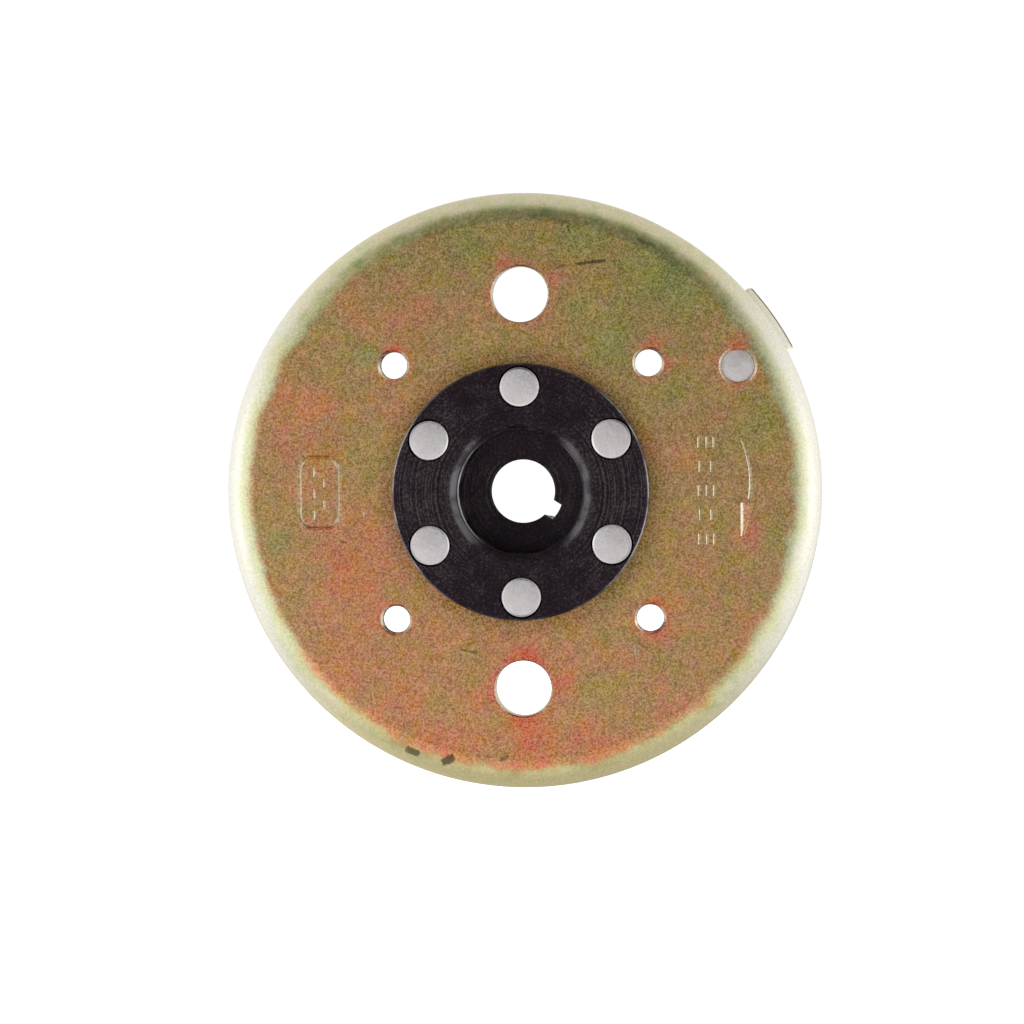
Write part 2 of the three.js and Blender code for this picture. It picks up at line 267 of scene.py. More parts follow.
def filleted(corners, closed=True):
    """Turns (radius, y, fillet) corners into (radius, y) points, with an arc at each fillet."""
    points = []
    count = len(corners)
    for index, (radius, y, fillet) in enumerate(corners):
        here = Vector((radius, y))
        is_end = not closed and index in (0, count - 1)
        if fillet == 0 or is_end:
            points.append((radius, y))
            continue
        back = (Vector(corners[index - 1][:2]) - here).normalized()
        ahead = (Vector(corners[(index + 1) % count][:2]) - here).normalized()
        half = back.angle(ahead) / 2
        centre = here + (back + ahead).normalized() * (fillet / math.sin(half))
        start = here + back * (fillet / math.tan(half)) - centre
        turn = math.pi - 2 * half
        if start.x * ahead.y - start.y * ahead.x < 0:
            turn = -turn
        steps = max(3, round(4 * fillet))
        for step in range(steps + 1):
            angle = turn * step / steps
            cosine, sine = math.cos(angle), math.sin(angle)
            x = centre.x + start.x * cosine - start.y * sine
            height = centre.y + start.x * sine + start.y * cosine
            points.append((x, height))
    return points


def add_object(name, points, faces):
    """A mesh object of points in millimetres, with all faces turned outwards."""
    mesh = bpy.data.meshes.new(name)
    mesh.from_pydata([Vector(point) * MM for point in points], [], faces)
    shape = bmesh.new()
    shape.from_mesh(mesh)
    bmesh.ops.remove_doubles(shape, verts=shape.verts, dist=MM * 1e-4)
    bmesh.ops.recalc_face_normals(shape, faces=shape.faces)
    shape.to_mesh(mesh)
    shape.free()
    made = bpy.data.objects.new(name, mesh)
    bpy.context.scene.collection.objects.link(made)
    return made


def turned(name, profile, segments, place=(0.0, 0.0), radius_at=None):
    """A solid turned round Y through a place on the face.

    The profile is (radius, y) points. It starts and ends on the axis, or closes on itself.
    radius_at(radius, y, angle), if given, says what each point's radius becomes, as on a thread.
    """
    open_ended = profile[0][0] == 0
    points = []
    for index in range(segments):
        angle = math.tau * index / segments
        for radius, y in profile:
            if radius_at is not None and radius > 0:
                radius = radius_at(radius, y, angle)
            x = place[0] + radius * math.cos(angle)
            z = place[1] + radius * math.sin(angle)
            points.append((x, y, z))
    count = len(profile)
    faces = []
    for index in range(segments):
        here = index * count
        there = (index + 1) % segments * count
        for step in range(count - 1 if open_ended else count):
            after = (step + 1) % count
            corners = [here + step, here + after, there + after, there + step]
            if profile[step][0] == 0:
                corners.remove(there + step)
            if profile[after][0] == 0:
                corners.remove(there + after)
            faces.append(corners)
    return add_object(name, points, faces)


def swept(name, sections, closed=False):
    """A solid through a row of sections, each a ring of the same number of points.

    It has a face at both ends, or runs back into its first section if closed.
    """
    count = len(sections[0])
    points = [point for section in sections for point in section]
    ends = [list(range(count)), [len(points) - count + index for index in range(count)]]
    faces = [] if closed else ends
    for row in range(len(sections) if closed else len(sections) - 1):
        near = row * count
        far = (row + 1) % len(sections) * count
        for index in range(count):
            after = (index + 1) % count
            faces.append([near + index, near + after, far + after, far + index])
    return add_object(name, points, faces)


def arc_block(name, node, fillet, steps=ARC_STEPS):
    """A curved block as large as a CAD node, with its edges rounded."""
    inner, outer = radii(node)
    low, high = heights(node)
    centre, arc = arc_of(node)
    sections = []
    for step in range(steps + 1):
        angle = centre - arc / 2 + arc * step / steps
        corners = [(inner, low), (outer, low), (outer, high), (inner, high)]
        sections.append([polar(radius, angle, y) for radius, y in corners])
    block = swept(name, sections)
    rounding = block.modifiers.new("edges", "BEVEL")
    rounding.width = fillet * MM
    rounding.segments = 3
    rounding.limit_method = "ANGLE"
    rounding.angle_limit = math.radians(SHARP_ANGLE)
    apply_modifiers(block)
    return block


def apply_modifiers(piece):
    """Replaces a piece's mesh by what its modifiers make of it."""
    graph = bpy.context.evaluated_depsgraph_get()
    result = bpy.data.meshes.new_from_object(piece.evaluated_get(graph))
    piece.modifiers.clear()
    piece.data = result


def joined(tools):
    """One object holding the meshes of all the tools, which don't touch each other."""
    shape = bmesh.new()
    for tool in tools:
        shape.from_mesh(tool.data)
    for tool in tools[1:]:
        bpy.data.objects.remove(tool)
    shape.to_mesh(tools[0].data)
    shape.free()
    return tools[0]


def cut(piece, tools):
    """Cuts the tools out of a piece."""
    tool = joined(tools)
    carve = piece.modifiers.new("cut", "BOOLEAN")
    carve.operation = "DIFFERENCE"
    carve.solver = "EXACT"
    carve.object = tool
    apply_modifiers(piece)
    bpy.data.objects.remove(tool)


def finish_piece(piece, material, cad_node, weighted=False):
    """Shades a piece, gives it its material and ties it to the frame.

    Its edges stay crisp where they are sharp, and its large faces look flat if weighted.
    """
    piece.data.shade_smooth()
    piece.data.set_sharp_from_angle(angle=math.radians(SHARP_ANGLE))
    if weighted:
        weights = piece.modifiers.new("normals", "WEIGHTED_NORMAL")
        weights.keep_sharp = True
        weights.weight = 100
        apply_modifiers(piece)
    piece.data.materials.clear()
    piece.data.materials.append(material)
    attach(piece, "root")
    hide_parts(cad_node)


def thread_wave(y, angle, pitch):
    """How deep a thread is cut at a place on its wall: 0 on a crest and 1 at a root."""
    phase = (y / pitch - angle / math.tau) % 1
    rise = 1 - 2 * abs(phase - 0.5)
    # A tenth of the rise is left flat at the root and at the crest.
    return min(1.0, max(0.0, 1.25 * rise - 0.125))


# ---- Cutting tools for the cup's web ----

def tool_hole_places():
    """The places of the two large holes."""
    return [(0, sign * TOOL_HOLE_PITCH_RADIUS) for sign in (1, -1)]


def fan_hole_places():
    """The places of the fan's four threaded holes."""
    half = FAN_HOLE_SPACING / 2
    return [(sign_x * half, sign_z * half) for sign_x in (1, -1) for sign_z in (1, -1)]


def rivet_places():
    """The places of the hub's rivets."""
    return [middle(f"hub_rivet_{index + 1}") for index in range(RIVET_COUNT)]


def plain_hole(place, radius, chamfer):
    """The tool of a plain hole with a chamfer at both faces of the web."""
    outer = WEB_OUTER_Y
    inner = WEB_INNER_Y
    edge = chamfer / 3
    profile = filleted([
        (0, outer - OVERRUN, 0),
        (radius + chamfer + OVERRUN, outer - OVERRUN, 0),
        (radius + chamfer, outer, 0),
        (radius, outer + chamfer, edge),
        (radius, inner - chamfer / 2, 0),
        (radius + chamfer / 2 + OVERRUN, inner + OVERRUN, 0),
        (0, inner + OVERRUN, 0),
    ], closed=False)
    return turned("hole_tool", profile, SMALL_SEGMENTS, place)


def threaded_hole(place):
    """The tool of a threaded hole, whose thread runs out in the chamfer at its mouth."""
    low = WEB_OUTER_Y - OVERRUN
    high = WEB_INNER_Y + OVERRUN
    steps = round((high - low) / FAN_THREAD_PITCH * THREAD_STEPS_PER_PITCH)
    walls = [(1, low + (high - low) * step / steps) for step in range(steps + 1)]
    profile = [(0, low), *walls, (0, high)]

    def wall_radius(_, y, angle):
        thread = FAN_HOLE_RADIUS + FAN_THREAD_DEPTH * thread_wave(y, angle, FAN_THREAD_PITCH)
        outer_mouth = FAN_HOLE_RADIUS + FAN_HOLE_CHAMFER - (y - WEB_OUTER_Y)
        inner_mouth = FAN_HOLE_RADIUS + FAN_THREAD_DEPTH + (y - WEB_INNER_Y)
        return max(thread, outer_mouth, inner_mouth)

    return turned("thread_tool", profile, SMALL_SEGMENTS, place, wall_radius)


def groove(path, width=GROOVE_WIDTH, depth=GROOVE_DEPTH, lean=0.0, start_share=1.0, closed=False):
    """The tool of a V-shaped groove stamped along a path of (x, z) places on the face.

    Its bottom lies in the middle, or to one side where lean is up to 1 or -1. At its start it
    is only start_share as wide and as deep as at its end.
    """
    places = [Vector((x, 0, z)) for x, z in path]
    count = len(places)
    sections = []
    for index, place in enumerate(places):
        share = start_share + (1 - start_share) * index / (count - 1)
        half = width / 2 * share
        lip = half + OVERRUN / 4 * width / (2 * depth)
        before = places[index - 1] if closed or index > 0 else place
        after = places[(index + 1) % count] if closed or index < count - 1 else place
        along = (after - before).normalized()
        across = Vector((along.z, 0, -along.x))
        top = Vector((0, WEB_OUTER_Y - OVERRUN / 4, 0))
        bottom = Vector((0, WEB_OUTER_Y + depth * share, 0))
        deepest = place + across * (lean * half)
        sections.append([
            place - across * lip + top,
            place + across * lip + top,
            deepest + across * half / 8 + bottom,
            deepest - across * half / 8 + bottom,
        ])
    return swept("groove_tool", sections, closed)


def arrow_head(tip, width, length, depth):
    """The tool of a stamped arrow head that points down the face.

    Its left side is a wide steep wall, and its floor rises from there to the slanting side.
    """
    x, z = tip
    wall = 0.5
    blunt = 0.65
    inset = 0.12
    outline = [(x, z), (x + blunt, z), (x + width, z + length), (x, z + length)]
    floor = [
        (x + wall, z + inset, depth),
        (x + blunt - inset / 2, z + inset, depth * 0.85),
        (x + width - inset * 2, z + length - inset, depth * 0.12),
        (x + wall, z + length - inset, depth),
    ]
    sections = [
        [Vector((px, WEB_OUTER_Y - OVERRUN / 4, pz)) for px, pz in outline],
        [Vector((px, WEB_OUTER_Y, pz)) for px, pz in outline],
        [Vector((px, WEB_OUTER_Y + level, pz)) for px, pz, level in floor],
    ]
    return swept("arrow_tool", sections)


def stamped_marks():
    """The tools of the turning arrow and of two plain generic marks."""
    steps = 16
    arrow = []
    for step in range(steps + 1):
        share = step / steps
        x = ARROW_START[0] + (ARROW_END[0] - ARROW_START[0]) * share
        z = ARROW_START[1] + (ARROW_END[1] - ARROW_START[1]) * share
        arrow.append((x + ARROW_BULGE * 4 * share * (1 - share), z))
    tools = [
        groove(arrow, lean=ARROW_LEAN, start_share=ARROW_START_SHARE),
        arrow_head(ARROW_HEAD_TIP, ARROW_HEAD_WIDTH, ARROW_HEAD_LENGTH, GROOVE_DEPTH),
    ]
    for row in range(STROKE_ROWS):
        z = BATCH_TOP[1] - BATCH_ROW_PITCH * row
        for across in BATCH_STROKES[row % 2]:
            tools.append(stroke(BATCH_TOP[0] + across, z, BATCH_STROKE_LENGTH))
    plate = rounded_rectangle(*PLATE_CENTRE, PLATE_WIDTH, PLATE_HEIGHT, PLATE_CORNER)
    tools.append(groove(plate, PLATE_GROOVE_WIDTH, PLATE_GROOVE_DEPTH, PLATE_LEAN, closed=True))
    for row in range(STROKE_ROWS):
        across = PLATE_STROKE_OFFSET if row % 2 else -PLATE_STROKE_OFFSET
        z = PLATE_FIRST_STROKE_Z - PLATE_ROW_PITCH * row
        tools.append(stroke(PLATE_CENTRE[0] + across, z, PLATE_STROKE_LENGTH))
    return tools


def stroke(x, z, length):
    """The tool of a short upright stroke stamped on the face."""
    half = length / 2
    path = [(x, z + half), (x, z), (x, z - half)]
    return groove(path, STROKE_WIDTH, STROKE_DEPTH, ARROW_LEAN)


def rounded_rectangle(centre_x, centre_z, width, height, corner):
    """The (x, z) places of a rectangle's outline with round corners."""
    half_width = width / 2
    half_height = height / 2
    outline = filleted([
        (-half_width, -half_height, corner),
        (half_width, -half_height, corner),
        (half_width, half_height, corner),
        (-half_width, half_height, corner),
    ])
    return [(centre_x + x, centre_z + z) for x, z in outline]


# ---- Materials ----

def new_material(name, **uniform):
    """A material with a Principled shader, whose uniform values are set on its own sockets."""
    material = bpy.data.materials.new(name)
    material.use_nodes = True
    shader = material.node_tree.nodes["Principled BSDF"]
    for socket, value in uniform.items():
        shader.inputs[socket.replace("_", " ")].default_value = value
    return material, material.node_tree, shader


def node(tree, kind, inputs=(), **settings):
    """Adds a node, sets its settings, and sets or links its inputs by name or number."""
    made = tree.nodes.new(kind)
    for name, value in settings.items():
        setattr(made, name, value)
    for key, value in dict(inputs).items():
        if isinstance(value, bpy.types.NodeSocket):
            tree.links.new(value, made.inputs[key])
        else:
            made.inputs[key].default_value = value
    return made


def maths(tree, operation, first, second=0.0):
    """One Math node's result."""
    return node(tree, "ShaderNodeMath", {0: first, 1: second}, operation=operation).outputs[0]


def between(tree, value, low, high, to_low=0.0, to_high=1.0, course="SMOOTHSTEP"):
    """Maps a value's range to another one without running past its ends."""
    inputs = {"Value": value, "From Min": low, "From Max": high, "To Min": to_low, "To Max": to_high}
    return node(tree, "ShaderNodeMapRange", inputs, interpolation_type=course).outputs[0]


def mixed(tree, factor, first, second, blend="MIX"):
    """A mix of two colours."""
    made = node(tree, "ShaderNodeMix", {"Factor": factor}, data_type="RGBA", blend_type=blend)
    for socket, colour in ((made.inputs[6], first), (made.inputs[7], second)):
        if isinstance(colour, bpy.types.NodeSocket):
            tree.links.new(colour, socket)
        else:
            socket.default_value = (*colour, 1)
    return made.outputs[2]


def noise(tree, vector, size, detail=2.0, rough=0.5, offset=0.0):
    """Noise between about 0 and 1 whose blotches are about this many millimetres across."""
    inputs = {
        "Vector": vector, "Scale": 1 / (size * MM), "Detail": detail, "Roughness": rough,
        "W": offset,
    }
    return node(tree, "ShaderNodeTexNoise", inputs, noise_dimensions="4D").outputs[0]


def ramp(tree, value, stops):
    """A colour ramp of (place, colour) stops."""
    made = node(tree, "ShaderNodeValToRGB", {0: value})
    band = made.color_ramp
    while len(band.elements) < len(stops):
        band.elements.new(0.5)
    for element, (place, colour) in zip(band.elements, stops):
        element.position = place
        element.color = (*colour, 1)
    return made.outputs[0]


def where(tree):
    """The place on the object, its radius round the spin axis and its x, y and z, in millimetres."""
    place = node(tree, "ShaderNodeTexCoord").outputs["Object"]
    scaled = node(tree, "ShaderNodeVectorMath", {0: place, "Scale": 1 / MM}, operation="SCALE")
    x, y, z = node(tree, "ShaderNodeSeparateXYZ", {0: scaled.outputs[0]}).outputs
    return place, length_of(tree, x, z), x, y, z


def distance_from(tree, x, z, place):
    """The distance, in millimetres, from a place on a flat face or section."""
    across = maths(tree, "SUBTRACT", x, place[0])
    up = maths(tree, "SUBTRACT", z, place[1])
    return length_of(tree, across, up)


def lines_along(tree, value, scale, detail, rough):
    """Noise that changes with one value only, such as lines that a tool left at each radius."""
    inputs = {"W": value, "Scale": scale, "Detail": detail, "Roughness": rough}
    return node(tree, "ShaderNodeTexNoise", inputs, noise_dimensions="1D").outputs[0]


def surface(tree, shader, colour, dull, height, strength, depth):
    """Gives a shader its colour, its roughness and small relief of this depth in millimetres."""
    inputs = {"Height": height, "Strength": strength, "Distance": depth * MM}
    relief = node(tree, "ShaderNodeBump", inputs).outputs[0]
    for value, socket in ((colour, "Base Color"), (dull, "Roughness"), (relief, "Normal")):
        tree.links.new(value, shader.inputs[socket])


def web_holes():
    """Each hole that shows in the web, as a place and a radius."""
    holes = [(place, TOOL_HOLE_RADIUS) for place in tool_hole_places()]
    holes.extend((place, FAN_HOLE_RADIUS) for place in fan_hole_places())
    holes.append((middle("index_pin"), PIN_HOLE_RADIUS))
    return holes


def distance_to_line(tree, x, z, start, end):
    """The distance on the face, in millimetres, from a straight line between two places."""
    reach_x, reach_z = end[0] - start[0], end[1] - start[1]
    length_squared = reach_x ** 2 + reach_z ** 2
    from_x = maths(tree, "SUBTRACT", x, start[0])
    from_z = maths(tree, "SUBTRACT", z, start[1])
    along = total(tree, product(tree, from_x, reach_x), product(tree, from_z, reach_z))
    share = node(tree, "ShaderNodeClamp", {0: maths(tree, "DIVIDE", along, length_squared)}).outputs[0]
    left_x = maths(tree, "SUBTRACT", from_x, product(tree, share, reach_x))
    left_z = maths(tree, "SUBTRACT", from_z, product(tree, share, reach_z))
    return length_of(tree, left_x, left_z)


def centred(tree, value, amount):
    """Noise turned into an offset round zero, of half this amount either way."""
    return product(tree, maths(tree, "SUBTRACT", value, 0.5), amount)


def total(tree, first, *others):
    """The sum of several values."""
    for value in others:
        first = maths(tree, "ADD", first, value)
    return first


def product(tree, first, *others):
    """The product of several values."""
    for value in others:
        first = maths(tree, "MULTIPLY", first, value)
    return first


def size_of(tree, value):
    """A value without its sign."""
    return maths(tree, "ABSOLUTE", value)


def length_of(tree, across, up):
    """The length of a line that reaches this far in two square directions."""
    square = total(tree, product(tree, across, across), product(tree, up, up))
    return maths(tree, "SQRT", square)


def film_thickness(tree, place, x, z, blotch):
    """How thick the passivation film is, from thin and green at 0 to thick and red at 1."""
    cloud = noise(tree, place, 13, 3, 0.6, 1.3)
    film = total(
        tree,
        between(tree, z, 48, -48, 0.36, 0.56),
        between(tree, x, 25, -40, -0.01, 0.09),
        centred(tree, cloud, 0.80),
        centred(tree, blotch, 0.62),
    )
    ragged = between(tree, total(tree, blotch, centred(tree, cloud, 0.8)), 0.30, 0.62, 0.55, 1.0)
    for hole, hole_radius in web_holes():
        away = distance_from(tree, x, z, hole)
        halo = between(tree, away, hole_radius + 0.2, hole_radius * 1.3 + 1.2, 0.20, 0.0)
        film = total(tree, film, product(tree, halo, ragged))
    for patch_x, patch_z, reach, amount in FILM_PATCHES:
        away = distance_from(tree, x, z, (patch_x, patch_z))
        patch = between(tree, away, reach * 0.1, reach, amount, 0.0)
        film = total(tree, film, product(tree, patch, ragged))
    return film


def film_colour(tree, place, film):
    """The film's colour, which also wanders between yellowish and pinkish."""
    colour = ramp(tree, film, [
        (0.00, (0.42, 0.48, 0.185)),
        (0.25, (0.55, 0.475, 0.185)),
        (0.45, (0.67, 0.440, 0.200)),
        (0.60, (0.78, 0.410, 0.215)),
        (0.75, (0.88, 0.365, 0.200)),
        (0.90, (0.97, 0.310, 0.190)),
        (1.00, (1.00, 0.265, 0.155)),
    ])
    veil = noise(tree, place, 2.6, 3, 0.6, 21.0)
    tint = ramp(tree, veil, [
        (0.36, (1.0, 1.0, 0.68)), (0.50, (0.98, 0.97, 0.90)), (0.64, (0.96, 0.90, 1.0)),
    ])
    return mixed(tree, 1.0, colour, tint, "MULTIPLY")


def slope_of(tree):
    """How steep the surface stands against the closed face, and how far it faces sideways."""
    normal = node(tree, "ShaderNodeNewGeometry").outputs["True Normal"]
    across, along, _ = node(tree, "ShaderNodeSeparateXYZ", {0: normal}).outputs
    steep = between(tree, size_of(tree, along), 0.84, 0.98, 1.0, 0.0)
    return steep, between(tree, size_of(tree, across), 0.20, 0.55)


def rim_colour(tree, place, radius, x, y, z, colour, blotch):
    """The film on the rounded corner and the wall, which is thin and pale. It carries a painted
    highlight, whiter at the left and right where the side lights fall, and a painted dark shade line
    along the trigger pad's outer edge.
    """
    streaks = noise(tree, stretched(tree, place), 2.6, 3, 0.6, 2.2)
    drift = noise(tree, place, 6, 2, 0.5, 12.0)
    tone = total(tree, centred(tree, streaks, 1.3), blotch)
    olive = ramp(tree, tone, [
        (0.25, (0.52, 0.57, 0.23)), (0.50, (0.68, 0.66, 0.29)), (0.75, (0.78, 0.68, 0.34)),
    ])
    pale = ramp(tree, tone, [
        (0.25, (0.74, 0.75, 0.46)), (0.50, (0.85, 0.79, 0.51)), (0.75, (0.90, 0.78, 0.57)),
    ])
    # Painted highlight: the corner's olive and pale colours turn whiter towards the left and right,
    # where the side lights fall.
    towards_side_lights = maths(tree, "DIVIDE", size_of(tree, x), radius)
    beside = between(tree, towards_side_lights, 0.60, 0.95, 0.0, 0.9)
    olive = mixed(tree, beside, olive, (0.78, 0.79, 0.50))
    pale = mixed(tree, beside, pale, (0.86, 0.84, 0.75))
    pale = mixed(tree, between(tree, z, -34, -54, 0.0, 0.9), pale, (0.92, 0.80, 0.42))
    creep = between(tree, z, -20, -52, 0.0, -1.7)
    reach = total(tree, radius, centred(tree, drift, 4.5), centred(tree, streaks, 0.8))
    film_end = total(tree, reach, creep)
    colour = mixed(tree, between(tree, film_end, 49.6, 51.8), colour, olive)
    colour = mixed(tree, between(tree, reach, 51.6, 54.2), colour, pale)
    # Painted shade: a dark line is drawn along the trigger pad's outer front edge, standing in for the
    # shade there.
    pad_edge_shade = product(
        tree,
        between(tree, radius, CUP_RADIUS + 1.15, CUP_RADIUS + 1.35),
        between(tree, y, PAD_FRONT_Y + 1.3, PAD_FRONT_Y + 1.1))
    return mixed(tree, pad_edge_shade, colour, (0.20, 0.15, 0.11))


def yellow_zinc():
    """Zinc plating with a yellow passivation film, whose colour changes with its thickness. Steep edges
    carry a painted highlight, and the face round the hub a painted shade.
    """
    material, tree, shader = new_material("yellow_zinc", Metallic=1.0)
    place, radius, x, y, z = where(tree)
    blotch = noise(tree, place, 3.6, 4, 0.62, 4.1)
    grain = noise(tree, place, 0.62, 2, 0.65, 7.7)
    speckle = noise(tree, place, 0.36, 1, 0.6, 5.5)
    film = film_thickness(tree, place, x, z, blotch)
    colour = film_colour(tree, place, film)
    on_face = between(tree, radius, 51, 50)
    steep, facing_sideways = slope_of(tree)
    # Painted highlight: steep walls on the face, such as the sides of the grooves and holes, are drawn
    # cream, most where they face the side lights.
    painted_edge_highlight = total(tree, 0.06, product(tree, facing_sideways, 0.75))
    painted_edge_highlight = product(tree, steep, on_face, painted_edge_highlight)
    colour = mixed(tree, painted_edge_highlight, colour, (0.88, 0.84, 0.68))
    inward = between(tree, y, WEB_OUTER_Y + 0.9, WEB_OUTER_Y + 1.4)
    inside = ramp(tree, film, [(0.3, (0.44, 0.42, 0.27)), (0.75, (0.54, 0.44, 0.28))])
    colour = mixed(tree, product(tree, inward, on_face), colour, inside)
    stain = noise(tree, place, 2.0, 4, 0.7, 31.0)
    colour = mixed(tree, between(tree, stain, 0.60, 0.74, 0.0, 0.40), colour, (0.16, 0.13, 0.07))
    # Partly painted shade and partly darker film: the face is drawn darker and browner within 5 mm of
    # the hub, which stands proud and shades it.
    hub_shadow_and_film = between(tree, radius, FLANGE_RADIUS, FLANGE_RADIUS + 5, 0.46, 0.0)
    colour = mixed(tree, hub_shadow_and_film, colour, (0.34, 0.17, 0.07))
    colour = rim_colour(tree, place, radius, x, y, z, colour, blotch)
    shade = total(
        tree,
        product(tree, between(tree, speckle, 0.32, 0.68, -0.5, 0.5), 0.85),
        product(tree, between(tree, grain, 0.30, 0.70, -0.5, 0.5), 0.40),
        centred(tree, blotch, 0.30))
    shade = product(tree, shade, between(tree, radius, 49.5, 53, 1.0, 0.45))
    colour = node(
        tree, "ShaderNodeVectorMath", {0: shade, 1: (0.42, 0.32, 0.22), 2: colour},
        operation="MULTIPLY_ADD").outputs[0]
    colour = marked(tree, x, y, z, colour, grain)
    dull = between(tree, total(tree, grain, centred(tree, blotch, 0.5)), 0.3, 0.75, 0.28, 0.42)
    surface(tree, shader, colour, dull, grain, 0.35, 0.02)
    return material


def marked(tree, x, y, z, colour, grain):
    """A colour with the smudges and scratches of the closed face drawn over it."""
    smudge = (0.06, 0.045, 0.025)
    bare = (0.95, 0.90, 0.72)
    outside = between(tree, y, WEB_OUTER_Y + 1.5, WEB_OUTER_Y + 2.2, 1.0, 0.0)
    for start, end, width, darkness in FACE_MARKS:
        away = distance_to_line(tree, x, z, start, end)
        ragged = total(tree, away, centred(tree, grain, width))
        mark = between(tree, ragged, width * 0.35, width * 0.7, abs(darkness), 0.0)
        colour = mixed(tree, product(tree, mark, outside), colour, smudge if darkness > 0 else bare)
    return colour


def stretched(tree, place):
    """The place with the spin axis shortened, which draws patterns out along the wall."""
    return node(tree, "ShaderNodeMapping", {"Vector": place, "Scale": (1, 0.12, 1)}).outputs[0]


def black_oxide():
    """Blackened steel, with the fine circles that the lathe left and edges worn bright. It carries a
    painted highlight: its face is lighter at the left and right, and the circles and bright edges show
    most there, where the side lights fall.
    """
    material, tree, shader = new_material(
        "black_oxide", Specular_IOR_Level=0.27, Specular_Tint=(1.0, 0.76, 0.90, 1.0))
    place, radius, x, y, _ = where(tree)
    circles = lines_along(tree, radius, 2.2, 3.0, 0.7)
    grain = noise(tree, place, 0.42, 1, 0.6, 2.0)
    blotch = noise(tree, place, 4, 3, 0.5, 3.0)
    # Painted highlight: the face is drawn lighter towards the left and right, and its lathe circles
    # stand out more there, where the side lights fall.
    towards_side_lights = between(tree, maths(tree, "DIVIDE", size_of(tree, x), radius), 0.45, 0.95)
    catching_light = between(tree, towards_side_lights, -0.3, 1.0, course="LINEAR")
    lines = product(tree, centred(tree, circles, 2.0), catching_light)
    tone = total(tree, lines, centred(tree, grain, 1.8), blotch, product(tree, towards_side_lights, 0.16))
    colour = ramp(tree, tone, [
        (0.10, (0.0004, 0.0002, 0.0004)),
        (0.50, (0.0060, 0.0028, 0.0050)),
        (0.75, (0.0180, 0.0130, 0.0160)),
        (1.00, (0.0420, 0.0380, 0.0380)),
    ])
    ragged = between(tree, blotch, 0.38, 0.60, 0.25, 1.0)
    wear_and_glint = product(tree, edge_wear_and_glints(tree, radius, y, towards_side_lights), ragged)
    colour = mixed(tree, wear_and_glint, colour, (0.46, 0.46, 0.47))
    tree.links.new(wear_and_glint, shader.inputs["Metallic"])
    surface(tree, shader, colour, between(tree, circles, 0.3, 0.7, 0.30, 0.45), circles, 0.5, 0.03)
    return material


def edge_wear_and_glints(tree, radius, y, towards_side_lights):
    """A mask of the hub's turned edges, where the black has rubbed off, together with painted glints:
    on most edges it is strong only at the left and right, where the side lights catch them.
    """
    wear_and_glint = 0.0
    for edge_radius, edge_y, reach, amount, least in (
        (FLANGE_RADIUS - 0.12, HUB_FACE_Y + 0.12, 0.24, 0.85, 0.06),
        (RECESS_MOUTH_RADIUS - 0.35, HUB_FACE_Y + 0.4, 1.0, 0.30, 0.0),
        (PULLER_THREAD_MINOR_RADIUS, HUB_FACE_Y + RECESS_MOUTH_DEPTH, 0.34, 0.85, 0.0),
        (BARREL_RADIUS - 0.5, HUB_END_Y - 0.5, 0.45, 0.80, 0.60),
    ):
        away = distance_from(tree, radius, y, (edge_radius, edge_y))
        rubbed = between(tree, away, reach * 0.5, reach, amount, 0.0)
        # Painted highlight: each edge shows mostly where it faces the side lights at the left and
        # right, and only its least share elsewhere.
        share = between(tree, towards_side_lights, 0.0, 1.0, least, 1.0)
        wear_and_glint = maths(tree, "MAXIMUM", wear_and_glint, product(tree, rubbed, share))
    return wear_and_glint


def bare_steel():
    """Dull plated steel of the rivets and the pin.

    The rivets' rounded edges carry a painted highlight on the side of the spin axis and painted shade
    on the side away from it.
    """
    material, tree, shader = new_material("bare_steel", Metallic=1.0)
    place, radius, x, _, z = where(tree)
    grain = noise(tree, place, 0.42, 3, 0.7, 3.0)
    blotches = noise(tree, place, 2.2, 2, 0.5, 9.0)
    tone = total(tree, product(tree, grain, 0.6), product(tree, blotches, 0.4))
    colour = ramp(tree, tone, [(0.3, (0.76, 0.69, 0.70)), (0.7, (1.0, 0.97, 0.97))])
    normal = node(tree, "ShaderNodeNewGeometry").outputs["True Normal"]
    across, _, up = node(tree, "ShaderNodeSeparateXYZ", {0: normal}).outputs
    outwards = total(tree, product(tree, across, x), product(tree, up, z))
    outwards = maths(tree, "DIVIDE", outwards, radius)
    on_hub = between(tree, radius, FLANGE_RADIUS + 1, FLANGE_RADIUS)
    edge = product(tree, between(tree, size_of(tree, outwards), 0.10, 0.35), on_hub)
    # Painted highlight and painted shade: rivet edges facing the spin axis are drawn near white, and
    # those facing away are drawn dark grey.
    edge_glint_and_shade = ramp(tree, outwards, [(0.0, (1.0, 0.98, 0.97)), (0.3, (0.22, 0.20, 0.21))])
    colour = mixed(tree, edge, colour, edge_glint_and_shade)
    dull = between(tree, grain, 0.3, 0.7, 0.42, 0.58)
    dull = maths(tree, "SUBTRACT", dull, product(tree, edge, 0.28))
    surface(tree, shader, colour, dull, grain, 0.4, 0.03)
    return material


def ferrite():
    """Sintered ferrite: dark grey ceramic with fine specks."""
    material, tree, shader = new_material("ferrite")
    place = where(tree)[0]
    grain = noise(tree, place, 0.35, 3, 0.7, 5.0)
    patches = noise(tree, place, 6, 2, 0.5, 6.0)
    tone = total(tree, product(tree, grain, 0.6), product(tree, patches, 0.4))
    colour = ramp(tree, tone, [(0.3, (0.022, 0.022, 0.024)), (0.72, (0.075, 0.076, 0.080))])
    surface(tree, shader, colour, between(tree, grain, 0.3, 0.7, 0.50, 0.75), grain, 0.5, 0.04)
    return material


